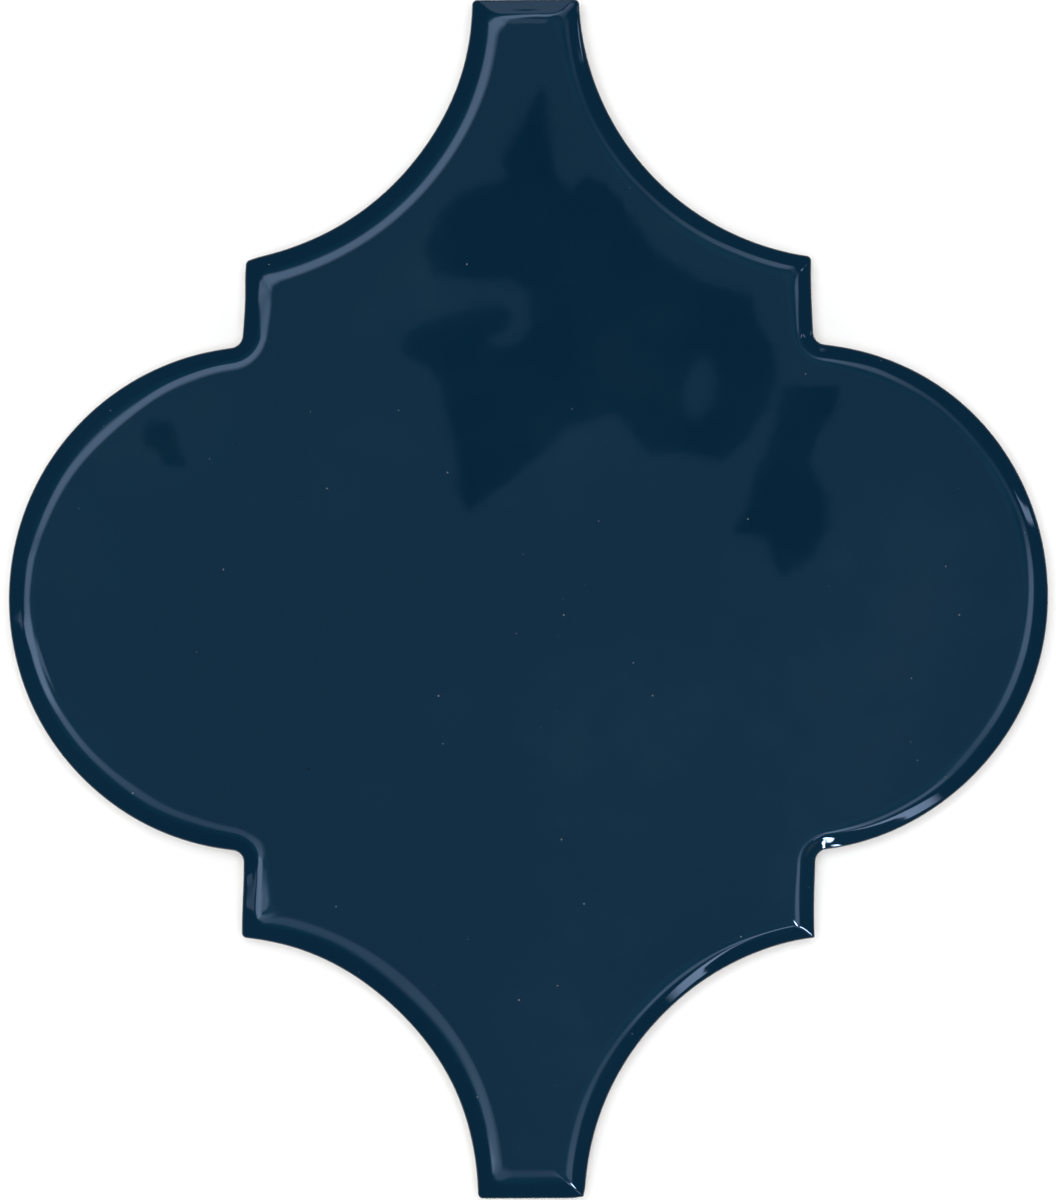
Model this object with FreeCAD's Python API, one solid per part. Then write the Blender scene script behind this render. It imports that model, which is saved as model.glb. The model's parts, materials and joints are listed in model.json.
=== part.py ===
import FreeCAD, Part
import math
import os

# An arabesque (lantern) wall tile, pressed and fired as one piece of glazed clay. It lies on its back
# with the glazed face up. X runs from lobe to lobe, Y from neck end to neck end, Z up through the
# thickness, and the origin is the middle of the back. All sizes are in millimetres.
#
# The outline tessellates with itself: the round lobes of one tile nest in the hollow flanks of its
# four diagonal neighbours and its neck ends meet those of the tiles above and below, with the same
# grout joint all round. So the outline follows from a few sizes and from that joint.

# Driving dimensions of the outline
lobe_radius = 31.8
lobe_spacing = 66.4          # between the centres of the two lobes
neck_width = 13.4            # of each flat neck end
shoulder_side = 11.0         # straight side between the notch and the shoulder tip
grout_joint = 1.5            # gap that the laid pattern leaves between two tiles
notch_radius = 1.5           # inside corner where a lobe meets the straight side
tip_radius = 0.5             # outside corners, at the edge of the tile

# Driving dimensions of the section
thickness = 8.0
bevel_run = 2.3              # width of the sloping rim, seen from above
bevel_drop = 1.0             # how far the rim falls from the face
crest_roll = 1.0             # how far the soft roll over the crest reaches into the face
face_corner_radius = 0.3     # outside corners of the flat face, inside that roll
arris_radius = 0.4           # roll from the rim into the upright side
back_chamfer = 0.4           # broken edge all round the back

# Driving dimensions of the keying grooves in the back
key_pitch = 8.0
key_width = 4.0
key_depth = 0.6
key_margin = 4.0             # plain rim left between the grooves and the edge

# Sizes that follow from the pattern
flank_radius = lobe_radius + grout_joint
lobe_x = lobe_spacing / 2
flank_x = neck_width / 2 + flank_radius
shoulder_x = (lobe_x + flank_x - grout_joint) / 2
notch_y = math.sqrt(lobe_radius**2 - (shoulder_x - lobe_x)**2)
tip_y = notch_y + shoulder_side
flank_y = tip_y + math.sqrt(flank_radius**2 - (flank_x - shoulder_x)**2)
tile_width = lobe_spacing + 2 * lobe_radius
tile_length = 2 * flank_y - grout_joint

# Sizes that follow from the section
rim_height = thickness - bevel_drop
crest_tip_radius = crest_roll + face_corner_radius
bevel_slope = math.atan2(bevel_drop, bevel_run)
crest_radius = crest_roll / math.tan(bevel_slope / 2)


def unit(vector):
    """The direction of a plane vector (x, y)."""
    size = math.hypot(vector[0], vector[1])
    return vector[0] / size, vector[1] / size


def towards(start, end, distance):
    """The point that lies at a distance from start on the way to end."""
    direction = unit((end[0] - start[0], end[1] - start[1]))
    return start[0] + distance * direction[0], start[1] + distance * direction[1]


def corner_radius(inset):
    """Radius of the outside corners on the outline moved in by inset: it grows towards the crest."""
    share = min(inset / bevel_run, 1.0)
    return tip_radius + share * (crest_tip_radius - tip_radius)


def quarter(inset):
    """The curves of one quarter of the outline, moved in by inset, from the outermost point of the
    lobe to the neck end. Each is (start, end, centre), or (start, end, None) where it is straight."""
    corner = corner_radius(inset)
    lobe = (lobe_x, 0.0)
    flank = (flank_x, flank_y)
    side_x = shoulder_x - inset
    end_y = tile_length / 2 - inset
    notch_reach = lobe_radius + notch_radius
    notch_x = shoulder_x + notch_radius
    notch = (notch_x, math.sqrt(notch_reach**2 - (notch_x - lobe_x)**2))
    corner_reach = flank_radius + inset + corner
    tip_x = side_x - corner
    tip = (tip_x, flank_y - math.sqrt(corner_reach**2 - (flank_x - tip_x)**2))
    neck_y = end_y - corner
    neck = (flank_x - math.sqrt(corner_reach**2 - (flank_y - neck_y)**2), neck_y)

    outermost = (lobe_x + lobe_radius - inset, 0.0)
    leaves_lobe = towards(lobe, notch, lobe_radius - inset)
    meets_side = (side_x, notch[1])
    leaves_side = (side_x, tip[1])
    meets_flank = towards(flank, tip, flank_radius + inset)
    leaves_flank = towards(flank, neck, flank_radius + inset)
    meets_end = (neck[0], end_y)
    return [
        (outermost, leaves_lobe, lobe),
        (leaves_lobe, meets_side, notch),
        (meets_side, leaves_side, None),
        (leaves_side, meets_flank, tip),
        (meets_flank, leaves_flank, flank),
        (leaves_flank, meets_end, neck),
    ]


def mirrored(curves, flip_x, flip_y):
    """A quarter's curves in another quadrant. One mirror reverses the way round, so the list turns too."""
    def place(point):
        return None if point is None else (point[0] * flip_x, point[1] * flip_y)

    moved = [(place(start), place(end), place(centre)) for start, end, centre in curves]
    if flip_x * flip_y < 0:
        moved = [(end, start, centre) for start, end, centre in reversed(moved)]
    return moved


def edge(start, end, centre, height):
    """A straight edge, or the shorter arc round centre, at one height."""
    first = FreeCAD.Vector(start[0], start[1], height)
    last = FreeCAD.Vector(end[0], end[1], height)
    if centre is None:
        return Part.LineSegment(first, last).toShape()
    radius = math.hypot(start[0] - centre[0], start[1] - centre[1])
    chord_middle = ((start[0] + end[0]) / 2, (start[1] + end[1]) / 2)
    middle = towards(centre, chord_middle, radius)
    return Part.Arc(first, FreeCAD.Vector(middle[0], middle[1], height), last).toShape()


def outline(inset, height):
    """The closed outline of the tile, moved in by inset, at one height."""
    base = quarter(inset)
    upper_right = mirrored(base, 1, 1)
    upper_left = mirrored(base, -1, 1)
    lower_left = mirrored(base, -1, -1)
    lower_right = mirrored(base, 1, -1)
    upper_end = (upper_right[-1][1], upper_left[0][0], None)
    lower_end = (lower_left[-1][1], lower_right[0][0], None)
    curves = [*upper_right, upper_end, *upper_left, *lower_left, lower_end, *lower_right]
    return Part.Wire([edge(start, end, centre, height) for start, end, centre in curves])


def edges_at(solid, height):
    """The edges of a solid that lie level at one height."""
    level = 1e-6
    return [
        one
        for one in solid.Edges
        if abs(one.BoundBox.ZMin - height) < level and abs(one.BoundBox.ZMax - height) < level
    ]


def pressed_body():
    """The tile without its back grooves: a broken lower edge, upright sides, and a sloping rim that
    rolls over into the flat face."""
    foot = Part.makeLoft([outline(back_chamfer, 0.0), outline(0.0, back_chamfer)], True, True)
    upright = Part.Face(outline(0.0, back_chamfer)).extrude(FreeCAD.Vector(0, 0, rim_height - back_chamfer))
    rim = Part.makeLoft([outline(0.0, rim_height), outline(bevel_run, thickness)], True, True)
    body = upright.fuse([foot, rim]).removeSplitter()
    body = body.makeFillet(crest_radius, edges_at(body, thickness))
    return body.makeFillet(arris_radius, edges_at(body, rim_height))


def key_grooves():
    """Shallow straight grooves across the back, which the tile adhesive keys into. They stop short of
    the edge, and the middle of the back is a rib."""
    field = Part.Face(outline(key_margin, 0.0)).extrude(FreeCAD.Vector(0, 0, key_depth))
    count = int((tile_length / 2 - key_margin) / key_pitch)
    bars = []
    for number in range(-count, count):
        middle = (number + 0.5) * key_pitch
        corner = FreeCAD.Vector(-tile_width / 2, middle - key_width / 2, 0)
        bars.append(Part.makeBox(tile_width, key_width, key_depth, corner))
    return field.common(Part.makeCompound(bars))


def arabesque_tile():
    """The whole tile, one solid."""
    return pressed_body().cut(key_grooves())


os.makedirs("parts", exist_ok=True)
tile = arabesque_tile()
tile.exportStep("parts/arabesque_tile.step")
box = tile.optimalBoundingBox(False, False)
print(f"tile {box.XLength:.2f} x {box.YLength:.2f} x {box.ZLength:.2f} mm, {len(tile.Faces)} faces")
print(f"width {tile_width:.2f}, length {tile_length:.2f}, volume {tile.Volume / 1000:.2f} cm3")
print(f"solids {len(tile.Solids)}, valid {tile.isValid()}")
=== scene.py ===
# %% [markdown]
# # An arabesque wall tile
#
# This lesson dresses one glazed wall tile of the lantern shape: two round lobes, four stepped shoulders,
# four hollow flanks and a flat neck end above and below. The tile lies on its back and the camera looks
# straight down on it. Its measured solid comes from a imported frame, so every size here follows from that
# solid, and all that this file adds is what the eye sees: the soft pressed rim, the slow swell of the
# glaze, the bare clay underneath, and the light of a plain studio.

# %% Load the measured tile
import json
import math

import bmesh
import bpy
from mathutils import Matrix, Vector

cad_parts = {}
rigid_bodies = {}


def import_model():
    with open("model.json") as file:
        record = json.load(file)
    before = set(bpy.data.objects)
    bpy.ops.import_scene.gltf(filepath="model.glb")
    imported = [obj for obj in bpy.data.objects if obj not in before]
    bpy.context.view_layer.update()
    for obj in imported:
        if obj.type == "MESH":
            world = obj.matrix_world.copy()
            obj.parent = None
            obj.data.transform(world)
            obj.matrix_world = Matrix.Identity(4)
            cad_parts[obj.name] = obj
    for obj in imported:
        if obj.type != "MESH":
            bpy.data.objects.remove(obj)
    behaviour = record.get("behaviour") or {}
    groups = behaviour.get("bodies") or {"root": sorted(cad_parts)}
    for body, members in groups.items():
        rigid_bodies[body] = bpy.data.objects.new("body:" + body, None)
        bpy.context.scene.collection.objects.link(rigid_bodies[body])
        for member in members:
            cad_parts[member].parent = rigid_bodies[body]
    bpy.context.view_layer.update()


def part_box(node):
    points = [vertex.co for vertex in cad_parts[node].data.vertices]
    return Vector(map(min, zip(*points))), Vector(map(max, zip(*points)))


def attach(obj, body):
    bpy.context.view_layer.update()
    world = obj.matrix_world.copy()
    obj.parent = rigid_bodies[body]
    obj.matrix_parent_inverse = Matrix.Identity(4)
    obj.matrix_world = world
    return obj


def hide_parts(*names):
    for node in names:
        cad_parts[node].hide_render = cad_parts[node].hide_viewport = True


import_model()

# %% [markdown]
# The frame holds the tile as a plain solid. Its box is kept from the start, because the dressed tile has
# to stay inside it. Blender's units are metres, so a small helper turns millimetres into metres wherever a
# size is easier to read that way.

NODE = "arabesque_tile"
tile_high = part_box(NODE)[1]


def mm(value):
    """Metres from millimetres."""
    return value / 1000


HALF_WIDTH = tile_high.x
HALF_LENGTH = tile_high.y
THICKNESS = tile_high.z
print(f"solid: {HALF_WIDTH * 2000:.2f} x {HALF_LENGTH * 2000:.2f} x {THICKNESS * 1000:.2f} mm")

# %% [markdown]
# ## The outline
#
# A lantern tile nests in itself. The round lobes of one tile sit in the hollow flanks of its four diagonal
# neighbours, with the same grout joint everywhere. So a flank is an arc of the lobe's radius plus the
# joint, and its centre is where the neighbour's lobe has its own. Only four sizes are chosen here. The
# rest follows from them and from the box of the solid.

# %% Work out the outline's centres
LOBE_RADIUS = mm(31.8)
NECK_WIDTH = mm(13.4)
GROUT_JOINT = mm(1.5)
NOTCH_RADIUS = mm(1.5)

FLANK_RADIUS = LOBE_RADIUS + GROUT_JOINT
LOBE_CENTRE = (HALF_WIDTH - LOBE_RADIUS, 0.0)
FLANK_CENTRE = (NECK_WIDTH / 2 + FLANK_RADIUS, HALF_LENGTH + GROUT_JOINT / 2)
SHOULDER_X = (LOBE_CENTRE[0] + FLANK_CENTRE[0] - GROUT_JOINT) / 2
NOTCH_CENTRE = (
    SHOULDER_X + NOTCH_RADIUS,
    math.sqrt((LOBE_RADIUS + NOTCH_RADIUS)**2 - (SHOULDER_X + NOTCH_RADIUS - LOBE_CENTRE[0])**2),
)

CREST_INSET = mm(3.0)
SOFT_CORNER = (mm(0.65), mm(1.7))       # radius of an outside corner at the edge, and at the crest
CRISP_CORNER = (mm(0.2), mm(0.6))


def corner_radius(inset, corner):
    """Radius of the outside corners on a contour moved in by inset."""
    at_edge, at_crest = corner
    return at_edge + (at_crest - at_edge) * min(inset / CREST_INSET, 1)


def shoulder_centre(inset, corner):
    """Centre of the corner arc between the straight side and the flank."""
    radius = corner_radius(inset, corner)
    x = SHOULDER_X - inset - radius
    reach = FLANK_RADIUS + inset + radius
    return x, FLANK_CENTRE[1] - math.sqrt(reach**2 - (FLANK_CENTRE[0] - x)**2)


def neck_centre(inset, corner):
    """Centre of the corner arc between the flank and the neck end."""
    radius = corner_radius(inset, corner)
    y = HALF_LENGTH - inset - radius
    reach = FLANK_RADIUS + inset + radius
    return FLANK_CENTRE[0] - math.sqrt(reach**2 - (FLANK_CENTRE[1] - y)**2), y


print("soft shoulder corner centred on", [round(c * 1000, 2) for c in shoulder_centre(0, SOFT_CORNER)], "mm")

# %% [markdown]
# ## The section of the rim
#
# From the upright side the surface turns over a small arris, climbs an even bevel, and rolls softly into
# the flat face. That roll is what catches the light all round the tile, so its shape matters more than any
# other. The section is a formula: an arc for the arris, then a slope that stays even and eases out to
# nothing. The face itself lies a hair under the top of the solid, to leave room for the swell of the
# glaze. The foot has a small broken edge, because the raw tile is wiped with a sponge before it is fired.

# %% Work out the section
RIM_SLOPE = math.radians(23.5)
ARRIS_RADIUS = mm(0.4)
ARRIS_STEPS = 5
BEVEL_STEPS = 3
ROLL_START = mm(1.3)
ROLL_END = mm(4.3)
ROLL_EASE = 1.3
ROLL_STEPS = 18
FACE_HEIGHT = THICKNESS - mm(0.06)
FOOT_CHAMFER = mm(0.4)
SIDE_ROWS = 5
BACK_MARGIN = mm(4.0)


def slope_at(inset):
    """Slope of the rim at a distance in from the edge."""
    share = min(max((inset - ROLL_START) / (ROLL_END - ROLL_START), 0), 1)
    return RIM_SLOPE * (1 - share)**ROLL_EASE


def rim_section():
    """(inset, height) from the top of the upright side to the flat face."""
    turn = math.pi / 2 - RIM_SLOPE
    points = []
    for step in range(ARRIS_STEPS + 1):
        angle = turn * step / ARRIS_STEPS
        points.append((ARRIS_RADIUS * (1 - math.cos(angle)), ARRIS_RADIUS * math.sin(angle)))
    stretches = ((points[-1][0], ROLL_START, BEVEL_STEPS), (ROLL_START, ROLL_END, ROLL_STEPS))
    for first, last, steps in stretches:
        stride = (last - first) / steps
        for _ in range(steps):
            inset, height = points[-1]
            points.append((inset + stride, height + stride * math.tan(slope_at(inset + stride / 2))))
    lift = FACE_HEIGHT - points[-1][1]
    return [(inset, height + lift) for inset, height in points]


rim = rim_section()
side_top = rim[0][1]
side = [(0, FOOT_CHAMFER + (side_top - FOOT_CHAMFER) * row / SIDE_ROWS) for row in range(SIDE_ROWS)]
section = [(BACK_MARGIN, 0), (FOOT_CHAMFER, 0), *side, *rim]
print(f"section of {len(section)} points, upright side up to {side_top * 1000:.2f} mm")

# %% [markdown]
# ## Selecting by place
#
# Modelling by hand means selecting something and then using an operator on it. The next helpers do the
# selecting. Everything is deselected before each step, because an operator acts on all that is selected,
# and the loaded solid starts out selected.

# %% Helpers that select and mark
SEAM = mm(0.01)


def alone(piece):
    """Makes piece the only selected object, and the active one."""
    bpy.ops.object.select_all(action="DESELECT")
    piece.select_set(True)
    bpy.context.view_layer.objects.active = piece


def pick(piece, kind, test):
    """In edit mode, selects the VERT, EDGE or FACE items of piece that pass test, and nothing else."""
    bpy.ops.mesh.select_mode(type=kind)
    bpy.ops.mesh.select_all(action="DESELECT")
    mesh = bmesh.from_edit_mesh(piece.data)
    items = {"VERT": mesh.verts, "EDGE": mesh.edges, "FACE": mesh.faces}[kind]
    chosen = [item for item in items if test(item)]
    for item in chosen:
        item.select_set(True)
    mesh.select_flush_mode()
    bmesh.update_edit_mesh(piece.data)
    return len(chosen)


def mark(piece, name, value, test):
    """In edit mode, writes a number on the vertices of piece that pass test."""
    mesh = bmesh.from_edit_mesh(piece.data)
    layer = mesh.verts.layers.float[name]
    for vertex in mesh.verts:
        if test(vertex):
            vertex[layer] = value
    bmesh.update_edit_mesh(piece.data)


# %% [markdown]
# ## Drawing a contour
#
# The tile is built like a map of a hill, from one contour for each point of the section. An inset of the
# filled outline looks quicker, but at a sharp outside corner it pushes the corner past its neighbours and
# folds the surface. So each contour gets its own arcs, with the same number of steps in each.
#
# A contour starts as one vertex: a small plane is added and merged. Spin then turns that vertex about the
# centre of each arc and leaves a trail of edges, and extrude draws the straight stretches. Only a quarter
# of the outline is drawn, from the outermost point of a lobe to the middle of a neck end. The chords are
# about a millimetre long, short enough that a lobe looks round in a close view.

# %% Draw one contour
CHORD = mm(1.1)
NOTCH_STEPS = 8
CORNER_STEPS = 6
SIDE_STEPS = 8
END_STEPS = 6
UP = (0, 0, 1)


def bearing(centre, point):
    """The angle of point as seen from centre, counter-clockwise from +X."""
    return math.atan2(point[1] - centre[1], point[0] - centre[0])


LEAVE_LOBE = bearing(LOBE_CENTRE, NOTCH_CENTRE)
NECK = neck_centre(0, SOFT_CORNER)
SHOULDER = shoulder_centre(0, SOFT_CORNER)
FLANK_TURN = bearing(FLANK_CENTRE, NECK) - bearing(FLANK_CENTRE, SHOULDER)
LOBE_STEPS = round(LEAVE_LOBE * LOBE_RADIUS / CHORD)
FLANK_STEPS = round(abs(FLANK_TURN) * FLANK_RADIUS / CHORD)


def draw_arc(centre, angle, steps):
    """Carries the selected vertex along an arc about centre. A positive angle turns counter-clockwise here,
    which is the operator's negative."""
    bpy.ops.mesh.spin(steps=steps, angle=-angle, center=(*centre, 0), axis=UP)


def draw_line(start, end, steps):
    """Carries the selected vertex along a straight line in equal steps."""
    stride = ((end[0] - start[0]) / steps, (end[1] - start[1]) / steps, 0)
    for _ in range(steps):
        bpy.ops.mesh.extrude_vertices_move(TRANSFORM_OT_translate={"value": stride})


def start_at(point):
    """In edit mode, puts one selected vertex at a point: a small plane is added, merged and moved."""
    bpy.ops.mesh.select_mode(type="VERT")
    bpy.ops.mesh.select_all(action="DESELECT")
    bpy.ops.mesh.primitive_plane_add(size=mm(1))
    bpy.ops.mesh.merge(type="CENTER")
    bpy.ops.transform.translate(value=point)


def draw_contour(inset, height, corner):
    """Draws a quarter of the outline, moved in by inset, at one height."""
    shoulder = shoulder_centre(inset, corner)
    neck = neck_centre(inset, corner)
    side_x = SHOULDER_X - inset
    end_y = HALF_LENGTH - inset
    start_at((HALF_WIDTH - inset, 0, height))
    draw_arc(LOBE_CENTRE, LEAVE_LOBE, LOBE_STEPS)
    draw_arc(NOTCH_CENTRE, -LEAVE_LOBE, NOTCH_STEPS)
    draw_line((side_x, NOTCH_CENTRE[1]), (side_x, shoulder[1]), SIDE_STEPS)
    draw_arc(shoulder, bearing(shoulder, FLANK_CENTRE), CORNER_STEPS)
    draw_arc(FLANK_CENTRE, bearing(FLANK_CENTRE, neck) - bearing(FLANK_CENTRE, shoulder), FLANK_STEPS)
    draw_arc(neck, math.pi / 2 - bearing(neck, FLANK_CENTRE), CORNER_STEPS)
    draw_line((neck[0], end_y), (0, end_y), END_STEPS)
    bpy.ops.mesh.select_linked()


print("steps in a lobe and in a flank:", LOBE_STEPS, FLANK_STEPS)

# %% [markdown]
# ## Two quarters
#
# The contours are joined by bridging each to the next, which gives one strip of quads a time. Every vertex
# keeps its own distance from the edge in an attribute, because the swell of the glaze and its colour on
# the crest both follow that distance. Two kinds of quarter are built. In one, glaze has rounded the
# outside corners softly. In the other they stayed crisp, as they are at the lower right of this tile.

# %% Draw the contours and bridge them
def empty_piece(name, *numbers):
    """A new piece with nothing in it yet and named numbers for each vertex, open in edit mode."""
    bpy.ops.mesh.primitive_plane_add(size=mm(1))
    piece = bpy.context.active_object
    piece.name = name
    piece.data.name = name
    for number in numbers:
        piece.data.attributes.new(number, "FLOAT", "POINT")
    bpy.ops.object.mode_set(mode="EDIT")
    bpy.ops.mesh.select_all(action="SELECT")
    bpy.ops.mesh.delete(type="VERT")
    return piece


def edges_on(piece, stations):
    """Picks the edges of piece whose two ends lie at one of the given points of the section."""
    layer = bmesh.from_edit_mesh(piece.data).verts.layers.float["inset"]

    def lies_on(vertex):
        return any(
            abs(vertex[layer] - inset) < SEAM and abs(vertex.co.z - height) < SEAM
            for inset, height in stations
        )

    return pick(piece, "EDGE", lambda edge: lies_on(edge.verts[0]) and lies_on(edge.verts[1]))


def build_quarter(name, corner):
    """A quarter of the rim, side and foot, with one kind of outside corner."""
    quarter = empty_piece(name, "inset")
    for inset, height in section:
        draw_contour(inset, height, corner)
        mark(quarter, "inset", inset, lambda vertex: vertex.select)
    for outer, inner in zip(section, section[1:]):
        edges_on(quarter, (outer, inner))
        bpy.ops.mesh.bridge_edge_loops()
    bpy.ops.object.mode_set(mode="OBJECT")
    return quarter


tile = build_quarter("glazed_tile", SOFT_CORNER)
crisp_quarter = build_quarter("crisp_quarter", CRISP_CORNER)
print("a quarter:", len(tile.data.vertices), "vertices,", len(tile.data.polygons), "faces")

# %% [markdown]
# ## Pushing the clay
#
# A pressed and glazed rim doesn't keep the exact distance of the drawing. In the notches the glaze runs
# together: its crest sits closer to the edge, and it half fills the valley between the two bevels. In the
# crisp quarter it has run off instead, and the valley is a little deeper.
#
# A push is a displace modifier with no texture, which carries the vertices by a fixed step, as far as
# their weight in a vertex group says. The weight fades out with the distance from one place. It does what
# a proportional move does by hand, and it is easier to repeat.

# %% Push the crest and the valley of the notch
def eased(share):
    """0 to 1, flat at both ends."""
    share = min(max(share, 0), 1)
    return share * share * (3 - 2 * share)


def push(piece, step, centre, reach, nothing=None, whole=None):
    """Carries a round patch of piece by step, in metres. It fades out at reach from centre. Where two insets
    are given, it is nothing at the first and whole at the second. A lift fades out down the upright side."""
    insets = [item.value for item in piece.data.attributes["inset"].data]
    patch = piece.vertex_groups.new(name="patch")
    for vertex, inset in zip(piece.data.vertices, insets):
        share = eased(1 - math.dist(vertex.co.xy, centre) / reach)
        if nothing is not None:
            share *= eased((inset - nothing) / (whole - nothing))
        if step[2]:
            share *= eased(vertex.co.z / side_top)
        if share > 0:
            patch.add([vertex.index], share, "REPLACE")
    alone(piece)
    for axis, stride in zip("XYZ", step):
        if stride:
            carry = piece.modifiers.new("carry", "DISPLACE")
            carry.direction = axis
            carry.mid_level = 0.0
            carry.strength = stride
            carry.vertex_group = "patch"
            bpy.ops.object.modifier_apply(modifier=carry.name)
    piece.vertex_groups.remove(piece.vertex_groups["patch"])


CREST_START = mm(0.8)
CREST_END = mm(2.8)
CREST_REACH = mm(9.0)
CREST_STEP = (mm(0.42), mm(0.38), 0)
VALLEY_START = mm(2.4)
VALLEY_END = mm(0.3)
VALLEY_REACH = mm(3.2)
VALLEY_RISE = mm(0.17)
VALLEY_DROP = mm(0.12)
notch_edge = (NOTCH_CENTRE[0] - mm(1.0), NOTCH_CENTRE[1] - mm(1.1))
notch_crest = (NOTCH_CENTRE[0] - mm(3.0), NOTCH_CENTRE[1] - mm(2.6))
for quarter, lift in ((tile, VALLEY_RISE), (crisp_quarter, -VALLEY_DROP)):
    push(quarter, CREST_STEP, notch_crest, CREST_REACH, CREST_START, CREST_END)
    push(quarter, (0, 0, lift), notch_edge, VALLEY_REACH, VALLEY_START, VALLEY_END)
print("crest moved at the notch, and its valley filled or deepened")

# %% [markdown]
# ## The whole outline
#
# The mould is symmetric, so the soft quarter is mirrored twice. Its lower right copy is deleted, and the
# crisp quarter takes that place, mirrored downward. The seams are then merged, the inner contour below and
# the one above are filled, and the outside is made to face outward.

# %% Mirror the quarters, join them and fill both fields
mirror = tile.modifiers.new("four_quarters", "MIRROR")
mirror.use_axis = (True, True, False)
mirror.use_mirror_merge = True
mirror.merge_threshold = SEAM
alone(tile)
bpy.ops.object.modifier_apply(modifier=mirror.name)
bpy.ops.object.mode_set(mode="EDIT")
pick(tile, "FACE", lambda face: face.calc_center_median().x > 0 > face.calc_center_median().y)
bpy.ops.mesh.delete(type="FACE")
bpy.ops.object.mode_set(mode="OBJECT")

alone(crisp_quarter)
bpy.ops.object.mode_set(mode="EDIT")
bpy.ops.mesh.select_all(action="SELECT")
bpy.ops.transform.resize(value=(1, -1, 1), center_override=(0, 0, 0))
bpy.ops.object.mode_set(mode="OBJECT")
alone(tile)
crisp_quarter.select_set(True)
bpy.ops.object.join()

bpy.ops.object.mode_set(mode="EDIT")
bpy.ops.mesh.select_all(action="SELECT")
bpy.ops.mesh.remove_doubles(threshold=SEAM)
for station in (section[0], section[-1]):
    edges_on(tile, (station,))
    bpy.ops.mesh.edge_face_add()
bpy.ops.mesh.select_all(action="SELECT")
bpy.ops.mesh.normals_make_consistent(inside=False)
bpy.ops.object.mode_set(mode="OBJECT")
print("whole tile:", len(tile.data.vertices), "vertices,", len(tile.data.polygons), "faces")

# %% [markdown]
# ## The back
#
# The press leaves straight shallow grooves across the back for the adhesive to key into. They stop short
# of the edge, so the tile sits on an unbroken border. The field of the back is cut along the sides of
# every groove, and then the strips between two cuts are pushed up into the clay.

# %% Press the grooves
KEY_PITCH = mm(8.0)
KEY_WIDTH = mm(4.0)
KEY_DEPTH = mm(0.6)
CUT_TOLERANCE = 1e-6
key_count = int((HALF_LENGTH - BACK_MARGIN) / KEY_PITCH)
key_middles = [(number + 0.5) * KEY_PITCH for number in range(-key_count, key_count)]


def back_field(piece, test):
    """Picks the faces of the back's inner field that pass test."""
    layer = bmesh.from_edit_mesh(piece.data).verts.layers.float["inset"]

    def in_field(face):
        return all(v.co.z < SEAM and v[layer] > BACK_MARGIN - SEAM for v in face.verts) and test(face)

    return pick(piece, "FACE", in_field)


bpy.ops.object.mode_set(mode="EDIT")
for middle in key_middles:
    for cut in (middle - KEY_WIDTH / 2, middle + KEY_WIDTH / 2):
        back_field(tile, lambda face: True)
        bpy.ops.mesh.bisect(plane_co=(0, cut, 0), plane_no=(0, 1, 0), threshold=CUT_TOLERANCE)
strips = back_field(tile, lambda face: any(
    abs(face.calc_center_bounds().y - middle) < KEY_WIDTH / 4 for middle in key_middles
))
bpy.ops.mesh.extrude_region_move(TRANSFORM_OT_translate={"value": (0, 0, KEY_DEPTH)})
bpy.ops.object.mode_set(mode="OBJECT")
print(strips, "grooves pressed")

# %% [markdown]
# ## The face
#
# The filled face is one flat polygon with nothing inside it to bend. It is cut by a grid of bisecting
# planes, so that it can follow the slow swell of the glaze.

# %% Cut the face into a grid
GRID = mm(2.0)
LEVEL = mm(0.0002)


def top_face(piece):
    """Picks the flat face, inside the innermost contour."""
    return pick(piece, "FACE", lambda face: all(v.co.z > FACE_HEIGHT - LEVEL for v in face.verts))


bpy.ops.object.mode_set(mode="EDIT")
for reach, axis in ((HALF_WIDTH, 0), (HALF_LENGTH, 1)):
    lines = int((reach - ROLL_END) / GRID)
    for line in range(-lines, lines + 1):
        place = [0, 0, FACE_HEIGHT]
        place[axis] = line * GRID
        normal = [0, 0, 0]
        normal[axis] = 1
        top_face(tile)
        bpy.ops.mesh.bisect(plane_co=place, plane_no=normal, threshold=CUT_TOLERANCE)
cells = top_face(tile)
bpy.ops.object.mode_set(mode="OBJECT")
print("cells on the face:", cells)

# %% [markdown]
# ## The warp of the kiln
#
# No fired tile is quite the shape of its mould. The clay shrinks by several percent and pulls a little
# unevenly, so on this tile the two lobes sit about 0.3 mm high, the upper left side leans inward, the
# lower left flank sits about half a millimetre higher than its twin, and two corners are a little rounder
# than the rest. Each is one push through the whole thickness.

# %% Pull the outline out of true
WARP = (
    # step in x and y, centre in x and y, reach, all in millimetres
    (0.00, 0.24, -50, 6, 40),
    (0.00, 0.34, 50, 6, 40),
    (0.17, 0.17, 54, 26, 26),
    (-0.10, 0.12, 54, -26, 26),
    (0.05, 0.10, -50, -27, 20),
    (0.62, 0.00, -37, 39, 11),
    (0.24, -0.22, -35.7, 42.7, 2.6),
    (-0.30, 0.00, 37, 40, 11),
    (-0.32, 0.00, 37, -40, 11),
    (-0.30, 0.00, -37, -42, 9),
    (0.10, 0.66, -27, -46, 32),
    (0.34, 0.12, -10, -61, 17),
    (0.15, -0.05, -8, 66, 14),
    (0.00, 0.20, 30, -44, 20),
    (-0.18, 0.18, 6.6, -74.9, 1.6),
)
for step_x, step_y, x, y, reach in WARP:
    push(tile, (mm(step_x), mm(step_y), 0), (mm(x), mm(y)), mm(reach))
print("outline pulled out of true in", len(WARP), "places")

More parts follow.
